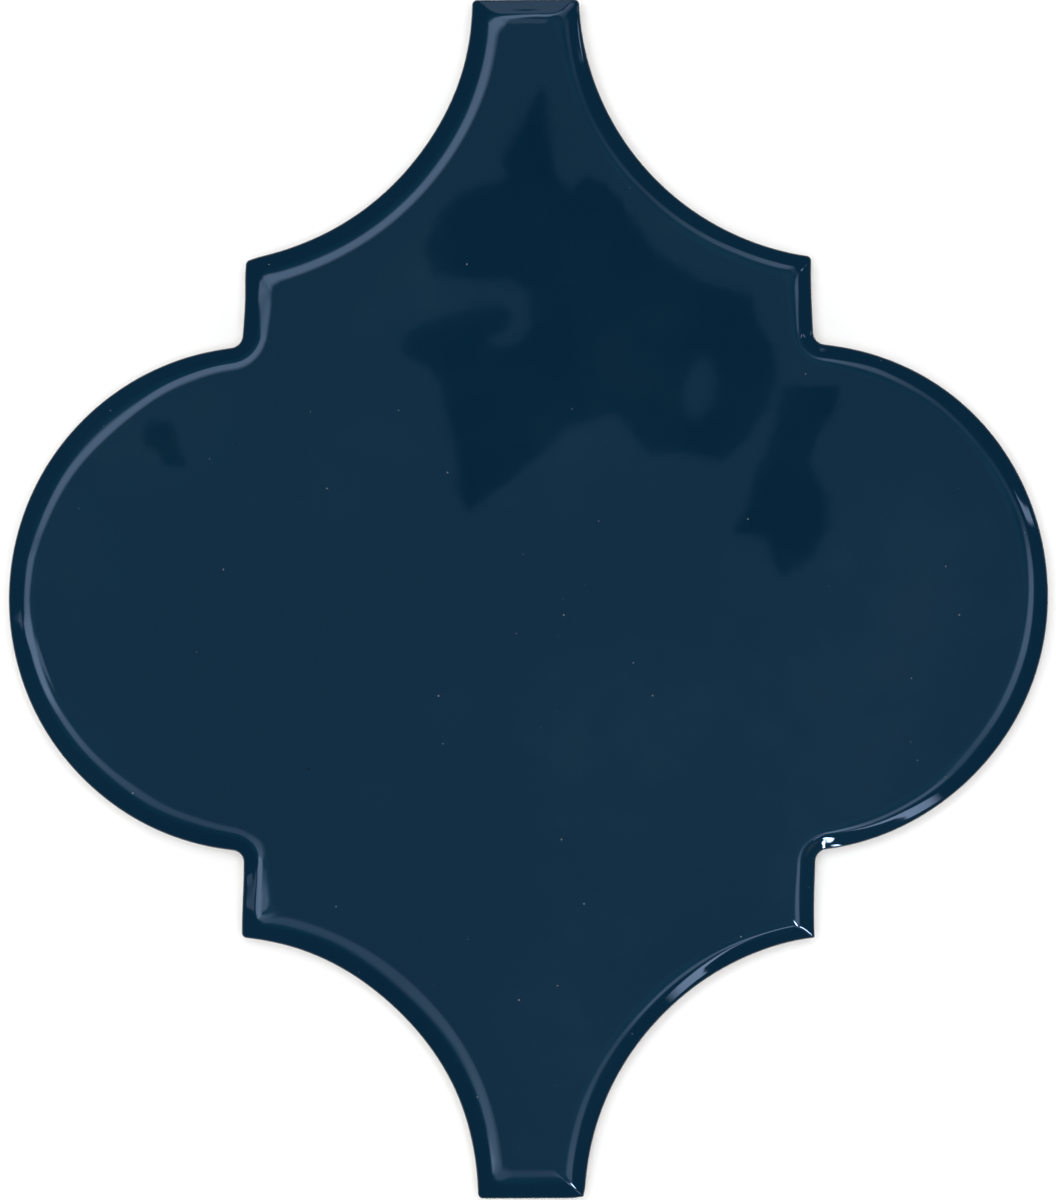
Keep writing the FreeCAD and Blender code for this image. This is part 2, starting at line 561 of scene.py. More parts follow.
# %% [markdown]
# The crest wanders too, because glaze creeps while it is molten. It has drawn back from both left
# shoulders in a broad soft fold, and it crowds the edge at the top end and beside the lower right
# shoulder. At the soft corners the edge sags a little. These pushes leave the outline where it is.

# %% Let the crest wander
WANDER = (
    # step in x, y and z, centre in x and y, reach, inset where it is nothing and where it is whole
    (0.00, 0.00, -0.26, -35.3, 42.6, 4.4, 2.8, 0.2),
    (0.00, 0.00, -0.12, -6.7, 75.0, 4.0, 2.8, 0.2),
    (0.00, 0.00, -0.26, -35.9, -42.5, 4.4, 2.8, 0.2),
    (0.00, 0.00, -0.20, -6.7, -75.0, 4.0, 2.8, 0.2),
    (0.00, 0.00, -0.20, 35.9, 42.7, 4.0, 2.8, 0.2),
    (-0.12, 0.44, 0, -41, 28, 11, 0.8, 2.8),
    (0.20, -0.22, 0, -53, 21, 10, 0.8, 2.8),
    (0.34, 0.00, 0, -34, 37.5, 13, 0.8, 2.8),
    (0.60, 0.00, 0, -34, -37.5, 12, 1.8, 3.6),
    (0.00, 0.50, 0, 0, 72, 9, 0.8, 2.8),
    (0.15, -0.60, 0, 32, -42.5, 13, 0.8, 2.8),
    (0.37, 0.33, 0, -15, -51, 26, 0.8, 2.8),
)
for step_x, step_y, step_z, x, y, reach, nothing, whole in WANDER:
    step = (mm(step_x), mm(step_y), mm(step_z))
    push(tile, step, (mm(x), mm(y)), mm(reach), mm(nothing), mm(whole))
print("crest moved in", len(WANDER), "places")

# %% [markdown]
# ## The swell of the glaze
#
# Fired glaze is never quite flat. It lies in long, very low waves, a few hundredths of a millimetre high,
# and they show only in what the face reflects. Two displace modifiers make them, one long and one short.
# They act through a vertex group that is nothing on the sides and the back and whole from the top of the
# bevel inward.

# %% Raise the swell
SWELL_START = mm(0.6)
SWELL_END = mm(3.6)


def swell_share(vertex, inset):
    """How much of the swell a vertex takes."""
    if vertex.co.z < side_top - SEAM:
        return 0.0
    return eased((inset - SWELL_START) / (SWELL_END - SWELL_START))


insets = [item.value for item in tile.data.attributes["inset"].data]
swell = tile.vertex_groups.new(name="swell")
for vertex, inset in zip(tile.data.vertices, insets):
    swell.add([vertex.index], swell_share(vertex, inset), "REPLACE")

alone(tile)
for name, wavelength, height in (("long_wave", mm(34), mm(0.035)), ("short_wave", mm(11), mm(0.005))):
    texture = bpy.data.textures.new(name, "CLOUDS")
    texture.noise_scale = wavelength
    texture.noise_depth = 1
    wave = tile.modifiers.new(name, "DISPLACE")
    wave.texture = texture
    wave.texture_coords = "LOCAL"
    wave.direction = "Z"
    wave.mid_level = 0.5
    wave.strength = height
    wave.vertex_group = swell.name
    bpy.ops.object.modifier_apply(modifier=name)
heights = [vertex.co.z for vertex in tile.data.vertices]
face_heights = [z for z in heights if z > FACE_HEIGHT - mm(0.05)]
print(f"face from {min(face_heights) * 1000:.3f} to {max(face_heights) * 1000:.3f} mm")

# %% [markdown]
# ## Smooth shading
#
# The rim turns through many small steps, and smooth shading hides them. The groove walls and the broken
# edge of the foot are true edges, so anything sharper than forty degrees stays sharp.

# %% Shade the tile
SHARP_ANGLE = math.radians(40)
alone(tile)
bpy.ops.object.shade_smooth_by_angle(angle=SHARP_ANGLE)
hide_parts(NODE)
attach(tile, "root")
print("triangles:", sum(len(face.vertices) - 2 for face in tile.data.polygons))

# %% [markdown]
# ## Building materials
#
# A material is a small net of nodes. The next helper adds one node and joins its sockets in a single call,
# so that each material below reads as a list of what is done to the surface, from the pattern to the
# shader.

# %% Helpers for nodes
def add_node(tree, kind, settings=None, **inputs):
    """Adds a node. Settings are its own choices, inputs are values or sockets, with _ for a space."""
    node = tree.nodes.new(kind)
    for name, value in (settings or {}).items():
        setattr(node, name, value)
    for name, value in inputs.items():
        socket = node.inputs[int(name[1:])] if name[1:].isdigit() else node.inputs[name.replace("_", " ")]
        if isinstance(value, bpy.types.NodeSocket):
            tree.links.new(value, socket)
        else:
            socket.default_value = value
    return node


def maths(tree, operation, first, second=0.0, clamp=False):
    """One sum on two numbers or sockets."""
    node = add_node(tree, "ShaderNodeMath", {"operation": operation, "use_clamp": clamp}, i0=first, i1=second)
    return node.outputs[0]


def spread(tree, value, low, high, to_low=0.0, to_high=1.0):
    """Stretches a value from low and high to two new ends, eased and clamped."""
    node = add_node(
        tree, "ShaderNodeMapRange", {"interpolation_type": "SMOOTHSTEP"},
        Value=value, From_Min=low, From_Max=high, To_Min=to_low, To_Max=to_high,
    )
    return node.outputs["Result"]


def clouds(tree, place, wavelength, detail=2.0, roughness=0.5):
    """Soft noise of about the given wavelength in metres, from 0 to 1."""
    node = add_node(
        tree, "ShaderNodeTexNoise", Vector=place, Scale=1 / wavelength, Detail=detail, Roughness=roughness
    )
    return node.outputs["Fac"]


def blend_colour(tree, share, first, second, mode="MIX"):
    """Blends two colours."""
    kind = {"data_type": "RGBA", "blend_type": mode}
    node = add_node(tree, "ShaderNodeMix", kind, i0=share, i6=first, i7=second)
    return node.outputs[2]


def new_group(name, inputs, outputs):
    """A node group with named sockets. Returns the group, its input node and its output node."""
    group = bpy.data.node_groups.new(name, "ShaderNodeTree")
    for socket, kind, value in inputs:
        made = group.interface.new_socket(socket, in_out="INPUT", socket_type=kind)
        if value is not None:
            made.default_value = value
    for socket, kind in outputs:
        group.interface.new_socket(socket, in_out="OUTPUT", socket_type=kind)
    return group, group.nodes.new("NodeGroupInput"), group.nodes.new("NodeGroupOutput")


def new_material(name):
    """An empty material. Returns it, its tree and its output node."""
    material = bpy.data.materials.new(name)
    material.use_nodes = True
    material.node_tree.nodes.clear()
    return material, material.node_tree, material.node_tree.nodes.new("ShaderNodeOutputMaterial")


COLOUR = "NodeSocketColor"
NUMBER = "NodeSocketFloat"
PLACE = "NodeSocketVector"
print("helpers ready")

# %% [markdown]
# ## Fired clay
#
# Under the glaze is a pale earthenware body. It shows on the back and along the foot, where the tile was
# wiped clean of glaze. Pressed clay dust fires to a fine matt grain with faint warm clouds, a few darker
# specks and tiny pits. Both materials need it, so it is a node group with its own inputs.

# %% Node group for fired clay
clay_group, given, result = new_group(
    "fired clay",
    [("Place", PLACE, None), ("Pale", COLOUR, (0.68, 0.64, 0.57, 1)), ("Warm", COLOUR, (0.56, 0.49, 0.40, 1)),
     ("Grain", NUMBER, mm(0.35))],
    [("Colour", COLOUR), ("Roughness", NUMBER), ("Height", NUMBER)],
)
grain_scale = maths(clay_group, "DIVIDE", 1.0, given.outputs["Grain"])
place = given.outputs["Place"]
grain = add_node(
    clay_group, "ShaderNodeTexNoise", Vector=place, Scale=grain_scale, Detail=3.0, Roughness=0.6
).outputs["Fac"]
warm_clouds = spread(clay_group, clouds(clay_group, place, mm(22), 3.0), 0.35, 0.7)
fine_clouds = spread(clay_group, clouds(clay_group, place, mm(2.5), 3.0), 0.3, 0.7, 0.0, 0.35)
share = maths(clay_group, "MAXIMUM", maths(clay_group, "MULTIPLY", warm_clouds, 0.6), fine_clouds)
body_colour = blend_colour(clay_group, share, given.outputs["Pale"], given.outputs["Warm"])
specks = add_node(clay_group, "ShaderNodeTexVoronoi", Vector=place, Scale=1 / mm(1.7))
speck = spread(clay_group, specks.outputs["Distance"], 0.05, 0.11, 1.0, 0.0)
dark_speck = add_node(clay_group, "ShaderNodeSeparateColor", Color=specks.outputs["Color"]).outputs[0]
speck = maths(clay_group, "MULTIPLY", speck, maths(clay_group, "GREATER_THAN", dark_speck, 0.72))
body_colour = blend_colour(
    clay_group, maths(clay_group, "MULTIPLY", speck, 0.7), body_colour, (0.16, 0.11, 0.07, 1)
)
clay_group.links.new(body_colour, result.inputs["Colour"])
clay_group.links.new(spread(clay_group, grain, 0.3, 0.7, 0.78, 0.95), result.inputs["Roughness"])
clay_height = maths(clay_group, "SUBTRACT", grain, speck)
clay_group.links.new(clay_height, result.inputs["Height"])
print("group:", clay_group.name)

# %% [markdown]
# ## Settled dust
#
# Even a clean tile on a studio table has a little dust on it: separate motes up to a fifth of a
# millimetre across, and a thin haze in places. It is pale, it is matt, and it settles only on what faces
# up. This too is a group. It puts out two masks, and the glaze uses them for its colour and its roughness.

# %% Node group for dust
dust_group, given, result = new_group(
    "settled dust",
    [("Place", PLACE, None), ("Mote Spacing", NUMBER, mm(4.0)), ("Haze", NUMBER, 0.1)],
    [("Motes", NUMBER), ("Haze", NUMBER)],
)
mote_scale = maths(dust_group, "DIVIDE", 1.0, given.outputs["Mote Spacing"])
motes = add_node(dust_group, "ShaderNodeTexVoronoi", Vector=given.outputs["Place"], Scale=mote_scale)
chance = add_node(dust_group, "ShaderNodeSeparateColor", Color=motes.outputs["Color"])
mote_size = spread(dust_group, chance.outputs[1], 0.45, 1.0, 0.0, 0.052)
mote = maths(dust_group, "LESS_THAN", motes.outputs["Distance"], mote_size)
normal = add_node(dust_group, "ShaderNodeNewGeometry").outputs["Normal"]
upward = add_node(dust_group, "ShaderNodeSeparateXYZ", Vector=normal).outputs[2]
upward = spread(dust_group, upward, 0.7, 0.95)
mote = maths(dust_group, "MULTIPLY", mote, upward)
mote = maths(dust_group, "MULTIPLY", mote, spread(dust_group, chance.outputs[2], 0.0, 1.0, 0.25, 1.0))
dust_group.links.new(mote, result.inputs["Motes"])
film = spread(dust_group, clouds(dust_group, given.outputs["Place"], mm(30), 4.0, 0.65), 0.5, 0.8)
film = maths(dust_group, "MULTIPLY", maths(dust_group, "MULTIPLY", film, upward), given.outputs["Haze"])
dust_group.links.new(film, result.inputs["Haze"])
print("group:", dust_group.name)

# %% [markdown]
# ## The navy glaze
#
# The glaze is a sheet of tinted glass melted onto the clay. Its colour is a deep blue that leans to green
# where the coat is thin, on the crest of the rim, and to black where it pools. It is very smooth, so its
# roughness is low and hardly changes, but a close look finds pinholes, dust motes and a faint ripple like
# orange peel. On the upright sides the coat runs out above the back in an uneven line, and bare clay shows
# below it. All of that could be painted on an image. Patterns in nodes were chosen, because they stay
# sharp at any distance.

# %% Material for the glaze
glaze, net, output = new_material("deep_navy_glaze")
place = add_node(net, "ShaderNodeTexCoord").outputs["Object"]
height_up = add_node(net, "ShaderNodeSeparateXYZ", Vector=place).outputs[2]
inset = add_node(net, "ShaderNodeAttribute", {"attribute_name": "inset"}).outputs["Fac"]

DEEP_BLUE = (0.0013, 0.0120, 0.0285, 1)
OPEN_BLUE = (0.0017, 0.0150, 0.0325, 1)
THIN_BLUE = (0.0035, 0.0260, 0.0480, 1)
wide = spread(net, clouds(net, place, mm(28), 3.0), 0.3, 0.7)
fine = clouds(net, place, mm(1.6), 3.0, 0.6)
pooled = maths(net, "ADD", maths(net, "MULTIPLY", wide, 0.7), maths(net, "MULTIPLY", fine, 0.3), True)
colour = blend_colour(net, pooled, DEEP_BLUE, OPEN_BLUE)
crest_in = spread(net, inset, mm(1.5), mm(2.4))
crest_out = spread(net, inset, mm(2.6), mm(3.6), 1.0, 0.0)
crest = maths(net, "MULTIPLY", crest_in, crest_out)
crest = maths(net, "MULTIPLY", crest, spread(net, clouds(net, place, mm(9), 3.0), 0.25, 0.75, 0.15, 0.55))
colour = blend_colour(net, crest, colour, THIN_BLUE)

pin = add_node(net, "ShaderNodeTexVoronoi", Vector=place, Scale=1 / mm(5.5))
pin_chance = add_node(net, "ShaderNodeSeparateColor", Color=pin.outputs["Color"]).outputs[0]
pin_size = spread(net, pin_chance, 0.6, 1.0, 0.0, 0.030)
pinhole = maths(net, "LESS_THAN", pin.outputs["Distance"], pin_size)
colour = blend_colour(net, maths(net, "MULTIPLY", pinhole, 0.8), colour, (0.0006, 0.0050, 0.0120, 1))

dust = add_node(
    net, "ShaderNodeGroup", {"node_tree": dust_group}, Place=place, Mote_Spacing=mm(2.0), Haze=0.006
)
colour = blend_colour(net, dust.outputs["Haze"], colour, (0.30, 0.32, 0.36, 1))
colour = blend_colour(net, maths(net, "MULTIPLY", dust.outputs["Motes"], 0.30), colour, (0.42, 0.45, 0.48, 1))

clay = add_node(net, "ShaderNodeGroup", {"node_tree": clay_group}, Place=place, Grain=mm(0.35))
line = maths(net, "MULTIPLY", clouds(net, place, mm(7), 4.0, 0.6), mm(1.8))
above = maths(net, "SUBTRACT", height_up, line)
bare = spread(net, above, mm(0.30), mm(0.40), 1.0, 0.0)
thin_edge = spread(net, above, mm(0.35), mm(1.0), 1.0, 0.0)
colour = blend_colour(net, maths(net, "MULTIPLY", thin_edge, 0.75), colour, (0.010, 0.060, 0.095, 1))
colour = blend_colour(net, bare, colour, clay.outputs["Colour"])

gloss = maths(net, "ADD", spread(net, fine, 0.3, 0.7, 0.025, 0.040), dust.outputs["Haze"])
gloss = maths(net, "ADD", gloss, maths(net, "MULTIPLY", dust.outputs["Motes"], 0.4))
gloss = maths(net, "ADD", gloss, maths(net, "MULTIPLY", clay.outputs["Roughness"], bare))

peel = clouds(net, place, mm(2.6), 1.0)
ripple = add_node(net, "ShaderNodeBump", Strength=1.0, Distance=mm(0.0012), Height=peel)
pits = add_node(net, "ShaderNodeBump", {"invert": True}, Strength=0.8, Distance=mm(0.05), Height=pinhole,
                Normal=ripple.outputs["Normal"])
rough_clay = maths(net, "MULTIPLY", clay.outputs["Height"], bare)
run_out = maths(net, "SUBTRACT", maths(net, "MULTIPLY", rough_clay, 0.3), bare)
relief = add_node(net, "ShaderNodeBump", Strength=0.9, Distance=mm(0.12), Height=run_out,
                  Normal=pits.outputs["Normal"])
surface = add_node(
    net, "ShaderNodeBsdfPrincipled", Base_Color=colour, Roughness=gloss, IOR=1.5,
    Normal=relief.outputs["Normal"],
)
net.links.new(surface.outputs["BSDF"], output.inputs["Surface"])
print("material:", glaze.name, len(net.nodes), "nodes")

# %% [markdown]
# ## The bare back
#
# The back was never glazed. It is the same fired clay with a coarser grain, rubbed a little darker on the
# high bands where tiles slid over each other in their box, and paler down in the grooves, where clay dust
# stays.

# %% Material for the back
bare_clay, net, output = new_material("bare_clay")
place = add_node(net, "ShaderNodeTexCoord").outputs["Object"]
height_up = add_node(net, "ShaderNodeSeparateXYZ", Vector=place).outputs[2]
clay = add_node(
    net, "ShaderNodeGroup", {"node_tree": clay_group},
    Place=place, Pale=(0.64, 0.60, 0.53, 1), Warm=(0.50, 0.43, 0.34, 1), Grain=mm(0.55),
)
rubbed = spread(net, clouds(net, place, mm(9), 4.0, 0.65), 0.45, 0.75)
high_band = spread(net, height_up, mm(0.05), mm(0.3), 1.0, 0.0)
colour = blend_colour(
    net, maths(net, "MULTIPLY", maths(net, "MULTIPLY", rubbed, high_band), 0.5),
    clay.outputs["Colour"], (0.30, 0.25, 0.20, 1),
)
powder = spread(net, clouds(net, place, mm(3), 3.0), 0.4, 0.7)
in_groove = maths(net, "SUBTRACT", 1.0, high_band)
colour = blend_colour(
    net, maths(net, "MULTIPLY", maths(net, "MULTIPLY", powder, in_groove), 0.5), colour, (0.72, 0.67, 0.60, 1)
)
grainy = add_node(net, "ShaderNodeBump", Strength=0.7, Distance=mm(0.12), Height=clay.outputs["Height"])
surface = add_node(
    net, "ShaderNodeBsdfPrincipled", Base_Color=colour, Roughness=clay.outputs["Roughness"], IOR=1.45,
    Normal=grainy.outputs["Normal"],
)
net.links.new(surface.outputs["BSDF"], output.inputs["Surface"])
print("material:", bare_clay.name, len(net.nodes), "nodes")

# %% [markdown]
# ## Which faces take which material
#
# Everything takes the glaze, because the line where it runs out is in the material itself. Only the back
# takes the bare clay: all faces that lie at the level of the back or in its grooves.

# %% Give the materials to the faces
def of_the_back(face):
    """Whether a face lies at the level of the back, or in its grooves."""
    top = max(vertex.co.z for vertex in face.verts)
    if top > KEY_DEPTH + SEAM:
        return False
    return face.calc_center_median().z < SEAM or top > FOOT_CHAMFER + SEAM


tile.data.materials.append(glaze)
tile.data.materials.append(bare_clay)
alone(tile)
bpy.ops.object.mode_set(mode="EDIT")
back_faces = pick(tile, "FACE", of_the_back)
tile.active_material_index = 1
bpy.ops.object.material_slot_assign()
bpy.ops.object.mode_set(mode="OBJECT")
print("faces of the back:", back_faces)

# %% [markdown]
# ## The floor and the soft light
#
# The tile lies on a plain pale floor. Its own dark colour needs an even, soft light from above, so a wide
# area light hangs over it, a little to the upper left, and is kept out of the reflections. What the glaze
# mirrors is set up apart from it, in the next steps, because a glossy tile shows its surroundings more
# than its light.

# %% Lay the floor and hang the key light
FLOOR_GAP = mm(0.1)
FLOOR_SIZE = 1.9
KEY_PLACE = (-0.05, 0.08, 2.6)
KEY_SIZE = 1.0
KEY_POWER = 67.0
bpy.ops.mesh.primitive_plane_add(size=FLOOR_SIZE, location=(0, 0, -FLOOR_GAP))
floor = bpy.context.active_object
floor.name = "pale_floor"
paper, net, output = new_material("pale_paper")
place = add_node(net, "ShaderNodeTexCoord").outputs["Object"]
sheet_colour = blend_colour(
    net, spread(net, clouds(net, place, 0.4, 2.0), 0.3, 0.7), (0.80, 0.80, 0.80, 1), (0.83, 0.83, 0.825, 1)
)
surface = add_node(net, "ShaderNodeBsdfPrincipled", Base_Color=sheet_colour, Roughness=0.9)
net.links.new(surface.outputs["BSDF"], output.inputs["Surface"])
floor.data.materials.append(paper)


def soft_light(name, place, size, power, colour):
    """A wide square light that points at the tile and shows in no reflection."""
    bpy.ops.object.light_add(type="AREA", location=place)
    light = bpy.context.active_object
    light.name = name
    light.data.size = size
    light.data.energy = power
    light.data.color = colour
    light.rotation_euler = (-light.location).to_track_quat("-Z", "Y").to_euler()
    light.visible_glossy = False


soft_light("soft_key", KEY_PLACE, KEY_SIZE, KEY_POWER, (1.0, 1.0, 1.0))
print("floor and key light ready")

# %% [markdown]
# ## What the glaze mirrors
#
# The camera looks straight down, so the flat face mirrors what hangs right above it, and each step down
# the rim mirrors something further out to its own side. A ribbon of lit cloth that hangs in a ring round
# the camera therefore draws a line along the crest, and the line is as bright as the ribbon is on that
# side.
#
# A ribbon is built from rows that cross it, and each row is bridged to the next. A row says its direction
# from the tile's middle in degrees, how far out the cloth begins and ends in metres, and how bright it is
# there. Its light fades out at both edges, as it does at the hem of a softbox.

# %% Hang the ribbon of light
RIBBON_HEIGHT = 0.9
RIBBON_HEM = 0.09
PATCH_HEM = 0.02
CLOTH_TINT = (0.49, 0.672, 1.0, 1)
CEILING_TINT = (0.25, 0.66, 1.0, 1)
BRIGHTEST = 60.0
BEAM_WHOLE = 0.20        # how far a gridded lamp is turned away, 0 to 1, where it begins to dim
BEAM_DARK = 0.32         # and where it has gone dark


def glow_material(name, colour, narrow=False):
    """A light-giving material that follows the glow attribute of its mesh and lets other light through.
    A narrow one shines within about 45 degrees of straight ahead, as a lamp does behind a grid."""
    material, net, output = new_material(name)
    glow = add_node(net, "ShaderNodeAttribute", {"attribute_name": "glow"}).outputs["Fac"]
    if narrow:
        aside = add_node(net, "ShaderNodeLayerWeight", Blend=0.5).outputs["Facing"]
        glow = maths(net, "MULTIPLY", glow, spread(net, aside, BEAM_WHOLE, BEAM_DARK, 1.0, 0.0))
    share = maths(net, "DIVIDE", glow, BRIGHTEST, True)
    tint = blend_colour(net, share, (0, 0, 0, 1), colour)
    light = add_node(net, "ShaderNodeEmission", Color=tint, Strength=BRIGHTEST)
    clear = add_node(net, "ShaderNodeBsdfTransparent")
    both = add_node(net, "ShaderNodeAddShader", i0=light.outputs[0], i1=clear.outputs[0])
    net.links.new(both.outputs[0], output.inputs["Surface"])
    return material


def only_for_gloss(card, material):
    """Gives a card its material and leaves it to be seen by the glaze's reflections only."""
    card.data.materials.append(material)
    card.visible_camera = False
    card.visible_diffuse = False
    card.visible_shadow = False
    card.visible_transmission = False


def hang_ribbon(name, height, hem, rows, material):
    """A ribbon of light above the tile, from rows of (direction, near, far, brightness)."""
    ribbon = empty_piece(name, "glow", "row")
    for number, (direction, near, far, brightness) in enumerate(rows):
        along = (math.cos(math.radians(direction)), math.sin(math.radians(direction)))
        reach = (near - hem / 2, near + hem / 2, far - hem / 2, far + hem / 2)
        start_at((reach[0] * along[0], reach[0] * along[1], height))
        for first, second in zip(reach, reach[1:]):
            stride = second - first
            bpy.ops.mesh.extrude_vertices_move(
                TRANSFORM_OT_translate={"value": (stride * along[0], stride * along[1], 0)}
            )
        bpy.ops.mesh.select_linked()
        mark(ribbon, "row", number, lambda vertex: vertex.select)
        mark(ribbon, "glow", brightness, lambda vertex: vertex.select
             and near < math.hypot(vertex.co.x, vertex.co.y) < far)
    for number in range(len(rows) - 1):
        layer = bmesh.from_edit_mesh(ribbon.data).verts.layers.float["row"]
        pick(ribbon, "EDGE", lambda edge: all(
            abs(vertex[layer] - number - 0.5) < 0.6 for vertex in edge.verts
        ))
        bpy.ops.mesh.bridge_edge_loops()
    bpy.ops.object.mode_set(mode="OBJECT")
    only_for_gloss(ribbon, material)


lit_cloth = glow_material("lit_cloth", CLOTH_TINT)
hang_ribbon("light_ribbon", RIBBON_HEIGHT, RIBBON_HEM, (
    (-180, 0.48, 0.72, 2.8), (-177, 0.47, 0.74, 3.4), (-175, 0.44, 0.82, 4.0), (-172, 0.42, 0.78, 4.4),
    (-169, 0.40, 0.68, 4.4), (-160, 0.40, 0.63, 4.6), (-154, 0.34, 0.56, 2.2), (-138, 0.24, 0.48, 1.3),
    (-126, 0.28, 0.52, 0.9), (-108, 0.26, 0.50, 0.8), (-90, 0.25, 0.46, 0.5), (-80, 0.60, 0.76, 4.4),
    (-70, 0.58, 0.74, 4.8), (-64, 0.58, 0.72, 2.4), (-50, 0.58, 0.72, 2.4), (-43, 0.50, 0.72, 0.9),
    (-36, 0.42, 0.66, 1.0), (-24, 0.43, 0.70, 1.7), (-12, 0.46, 0.74, 2.6), (-2, 0.52, 0.77, 2.8),
    (6, 0.59, 0.84, 2.5), (16, 0.68, 0.88, 0.6), (34, 0.52, 0.66, 0.25), (50, 0.57, 0.76, 0.7),
    (66, 0.61, 0.88, 1.8), (76, 0.62, 0.90, 2.6), (88, 0.55, 0.84, 4.0), (95, 0.36, 0.64, 3.4),
    (104, 0.24, 0.52, 3.2), (130, 0.22, 0.46, 3.2), (148, 0.27, 0.52, 3.0), (158, 0.28, 0.53, 2.9),
    (164, 0.32, 0.57, 2.5), (167.5, 0.37, 0.63, 2.0), (171, 0.43, 0.70, 2.8), (180, 0.48, 0.72, 2.9),
), lit_cloth)
hang_ribbon("patch_ribbon", RIBBON_HEIGHT, PATCH_HEM, (
    (-72, 0.80, 0.84, 0), (-68, 0.82, 0.92, 4.6), (-64, 0.85, 1.00, 6.0), (-58, 0.90, 1.12, 6.8),
    (-53, 1.00, 1.20, 5.5), (-50, 1.06, 1.24, 0),
), lit_cloth)
print("ribbons of light ready")

# %% [markdown]
# Some lights are single soft lamps. One far out at the top lights the whole bevel of that end, and one far
# to the right lays a short streak on the lobe. Another widens the glare under the top end, and two on the
# left light the rim beside the lower shoulder.
#
# Three tiny lamps hang low beside the lower right corners and the notch, where only the little mitres and
# the valley send them to the camera. They lean towards their corner and shine in a narrow beam, so that
# fewer of the views from the side find them in the face. A low view from behind still does.
#
# Each lamp is a disc with a dark hem, pulled to an oval and carried out from the middle.

# %% Hang the single lamps
LAMP_SIDES = 32
LAMP_HEM = 0.4           # share of the radius over which a lamp fades out
LOW_LEAN = 45.0


def hang_lamp(name, place, across, along, facing, brightness, material, lean=0.0):
    """A soft oval light at place. Along is its size in the direction that it faces, in degrees, and across
    is its size sideways. It hangs level, or leans by some degrees to look back at the tile."""
    bpy.ops.mesh.primitive_circle_add(vertices=LAMP_SIDES, radius=1, fill_type="NGON")
    lamp = bpy.context.active_object
    lamp.name = name
    lamp.data.name = name
    lamp.data.attributes.new("glow", "FLOAT", "POINT")
    bpy.ops.object.mode_set(mode="EDIT")
    pick(lamp, "FACE", lambda face: True)
    bpy.ops.mesh.inset(thickness=LAMP_HEM)
    mark(lamp, "glow", brightness, lambda vertex: vertex.co.length < 1 - LAMP_HEM / 2)
    bpy.ops.mesh.select_all(action="SELECT")
    bpy.ops.transform.resize(value=(along / 2, across / 2, 1))
    bpy.ops.transform.rotate(value=-math.radians(lean), orient_axis="Y", center_override=(0, 0, 0))
    bpy.ops.transform.rotate(value=-math.radians(facing), orient_axis="Z", center_override=(0, 0, 0))
    bpy.ops.transform.translate(value=place)
    bpy.ops.object.mode_set(mode="OBJECT")
    only_for_gloss(lamp, material)


for name, place, across, along, facing, brightness in (
    ("top_lamp", (0.0, 1.42, 0.9), 0.60, 1.00, 90, 1.25),
    ("under_lamp", (0.0, 0.33, 0.9), 0.16, 0.18, 90, 0.7),
    ("side_lamp", (-1.030, -0.076, 0.9), 0.08, 0.26, 180, 1.2),
    ("fold_lamp", (-0.33, -0.068, 0.9), 0.05, 0.20, 180, 1.9),
    ("streak_lamp", (1.06, 0.35, 0.9), 0.08, 0.24, 152, 5.0),
):
    hang_lamp(name, place, across, along, facing, brightness, lit_cloth)
gridded = glow_material("gridded_lamp", CLOTH_TINT, True)
for name, place, across, along, facing in (
    ("shoulder_lamp", (0.0409, -0.0464, 0.0165), 0.0024, 0.0034, -35),
    ("neck_lamp", (0.0147, -0.0832, 0.027), 0.004, 0.0062, -46),
    ("notch_lamp", (0.0392, -0.0444, 0.0222), 0.0022, 0.0080, -81),
):
    hang_lamp(name, place, across, along, facing, BRIGHTEST, gridded, LOW_LEAN)
print("single lamps ready")

# %% [markdown]
# ## Dark cards
#
# Over the tile hang a few uneven dark cards. They keep part of the pale ceiling out of the face, and the
# deep body colour of the glaze shows where they are mirrored. They hang between the tile and the camera,
# which doesn't see the cards themselves. Each outline is drawn vertex by vertex, as the mirror image should
# lie on the tile, and is enlarged for the height that the card hangs at.
#
# One card has a small pale patch in front of it, as if the card had a hole there.

# %% Cut and hang the dark cards
CAMERA_LENS = 240.0
SENSOR = 36.0
PICTURE_HEIGHT = mm(150.1)
CAMERA_HEIGHT = CAMERA_LENS * PICTURE_HEIGHT / SENSOR + side_top
CARD_HEIGHT = 0.35
SMALL_CARD_HEIGHT = 0.22


def hang_card(name, outline, height, material):
    """A flat card whose mirror image in the face has the given outline, in millimetres on the tile."""
    scale = 1 + (height - FACE_HEIGHT) / (CAMERA_HEIGHT - FACE_HEIGHT)
    points = [(mm(x) * scale, mm(y) * scale) for x, y in outline]
    card = empty_piece(name, "glow")
    start_at((*points[0], height))
    for start, end in zip(points, points[1:]):
        bpy.ops.mesh.extrude_vertices_move(
            TRANSFORM_OT_translate={"value": (end[0] - start[0], end[1] - start[1], 0)}
        )
    bpy.ops.mesh.select_all(action="SELECT")
    bpy.ops.mesh.edge_face_add()
    bpy.ops.object.mode_set(mode="OBJECT")
    only_for_gloss(card, material)


